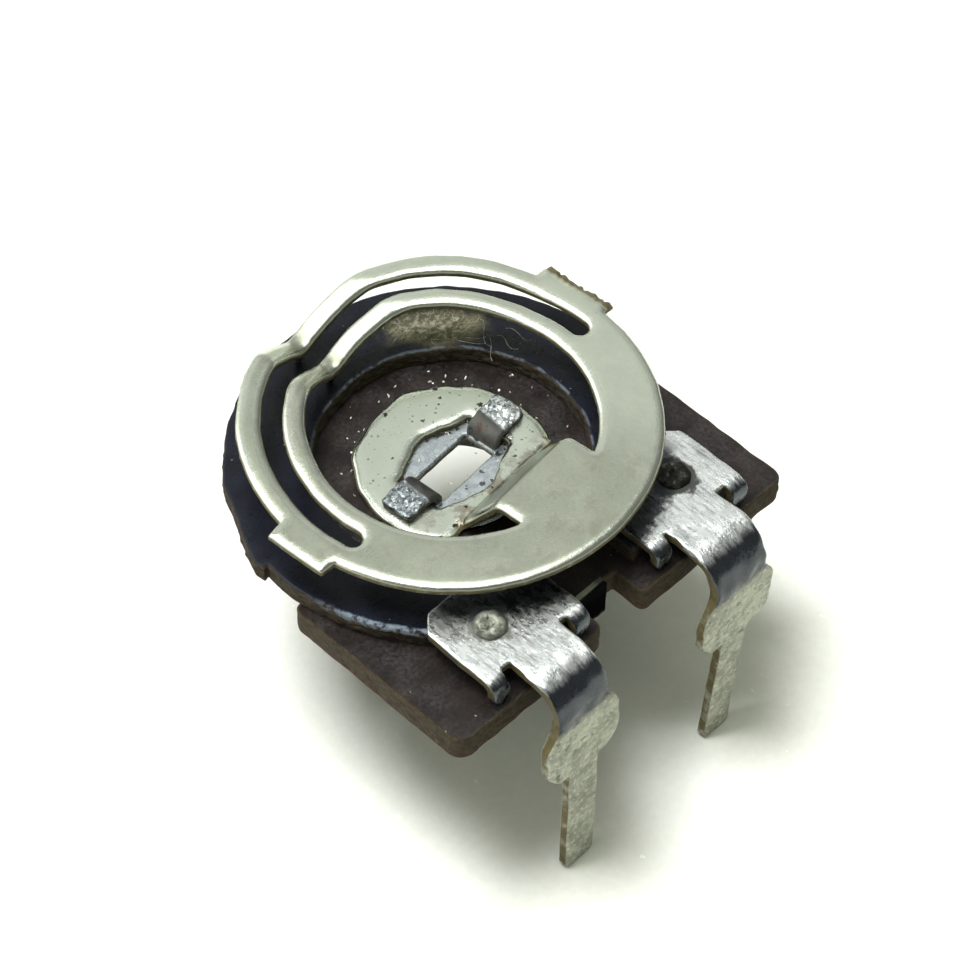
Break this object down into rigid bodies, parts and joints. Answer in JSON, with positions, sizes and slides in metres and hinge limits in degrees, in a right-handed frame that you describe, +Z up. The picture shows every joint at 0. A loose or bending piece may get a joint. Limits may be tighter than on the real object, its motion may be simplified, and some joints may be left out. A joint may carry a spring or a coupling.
{
  "type": "trimmer potentiometer",
  "caption": "Open-frame preset potentiometer: round ring wiper with split spring contacts on a horseshoe track, end terminals and a screwdriver slot.",
  "frame": {"origin": "where the turning axis crosses the top face of the base plate", "axes": "+Z up along the turning axis, -Y towards the two end terminals, +X to the right seen from the end terminals' side"},
  "size_m": [0.0106, 0.0123, 0.0081],
  "materials": {
    "laminate": "dark purplish-brown phenolic paper laminate with olive cut edges",
    "track": "satin blue-black carbon film on a brown laminate",
    "terminal": "hot-tinned sheet, mottled crystalline bright and dull",
    "rivet": "dull tinned tubular rivet",
    "spring": "satin nickel-silver spring sheet with yellow-brown sheared edges",
    "bush": "tinned sheet with bright crystalline tabs"
  },
  "bodies": {
    "frame": {"base_plate": "laminate", "resistance_element": "track", "end_terminal_left": "terminal", "end_terminal_right": "terminal", "end_rivet_left": "rivet", "end_rivet_right": "rivet", "centre_terminal": "terminal"},
    "rotor": {"wiper_spring": "spring", "drive_bush": "bush"}
  },
  "joints": [
    {"name": "rotor_turn", "type": "hinge", "parent": "frame", "child": "rotor", "pos_m": [0, 0, 0], "axis": [0, 0, 1], "range_deg": [-123, 116]}
  ]
}
